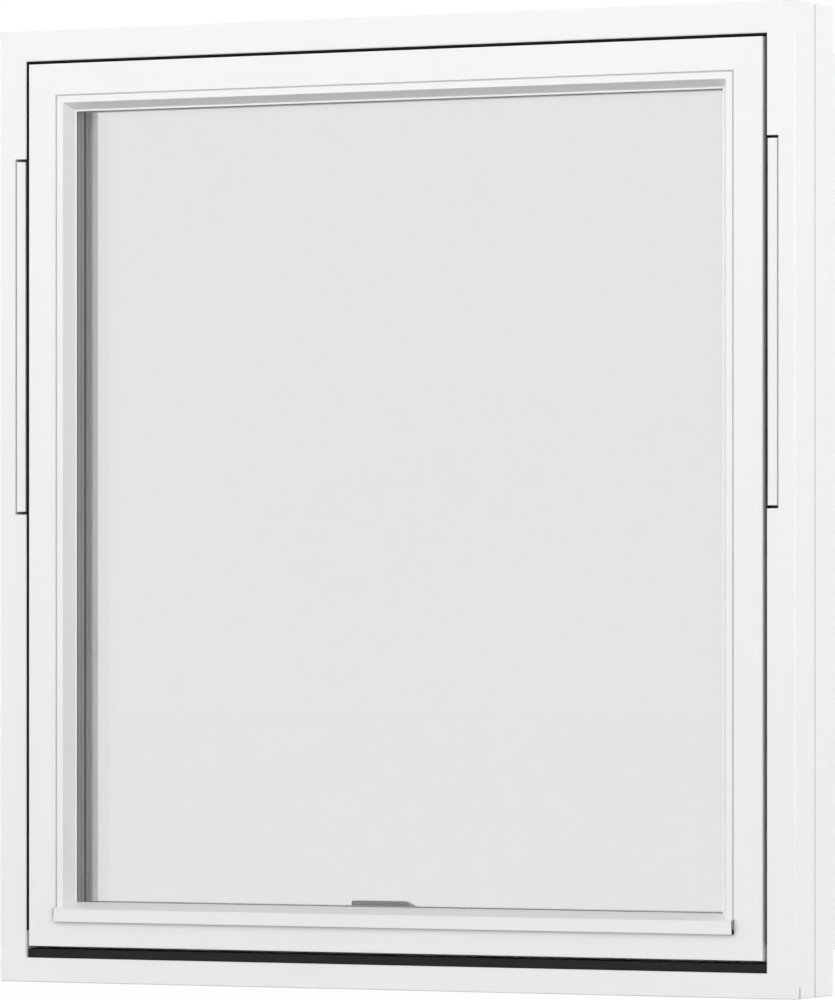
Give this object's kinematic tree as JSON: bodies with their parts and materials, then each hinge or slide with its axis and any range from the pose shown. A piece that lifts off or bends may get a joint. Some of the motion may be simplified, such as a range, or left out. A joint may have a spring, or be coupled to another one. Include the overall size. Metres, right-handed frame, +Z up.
{
  "type": "reversible window",
  "caption": "White painted timber window with a top-swing reversible sash, triple glazing, a projecting drip bar, black weather seals, hinge arm covers and a lever handle.",
  "frame": {"origin": "middle of the sill's underside, half way along its length and through its depth", "axes": "+X to the right as seen from outside, +Y into the room, +Z up"},
  "size_m": [1.09, 0.1263, 1.1872],
  "materials": {
    "white_paint": "satin white paint on planed timber",
    "white_coat": "satin white powder coat",
    "black_rubber": "matte black",
    "white_tape": "matte off-white foam tape",
    "dark_coat": "matte dark grey coat",
    "clear_glass": "clear float glass",
    "spacer_grey": "matte grey warm-edge bar",
    "cap_grey": "matte grey plastic",
    "zinc_steel": "zinc plated steel",
    "satin_metal": "satin anodised"
  },
  "bodies": {
    "root": {"frame_head": "white_paint", "frame_sill": "white_paint", "frame_left_jamb": "white_paint", "frame_right_jamb": "white_paint", "sash_top_rail": "white_paint", "sash_bottom_rail": "white_paint", "sash_left_stile": "white_paint", "sash_right_stile": "white_paint", "top_bead": "white_paint", "left_bead": "white_paint", "right_bead": "white_paint", "drip_bar": "white_coat", "left_arm_cover": "white_coat", "right_arm_cover": "white_coat", "drip_bar_seal": "black_rubber", "weather_seal_head": "black_rubber", "weather_seal_left": "black_rubber", "weather_seal_right": "black_rubber", "stop_seal": "black_rubber", "outer_glazing_tape": "black_rubber", "inner_glazing_tape": "white_tape", "sill_strip": "dark_coat", "outer_pane": "clear_glass", "middle_pane": "clear_glass", "inner_pane": "clear_glass", "outer_spacer": "spacer_grey", "inner_spacer": "spacer_grey", "left_bar_cap": "cap_grey", "right_bar_cap": "cap_grey", "left_hinge_arm": "zinc_steel", "right_hinge_arm": "zinc_steel", "handle_rosette": "satin_metal", "handle_lever": "satin_metal"}
  },
  "joints": []
}
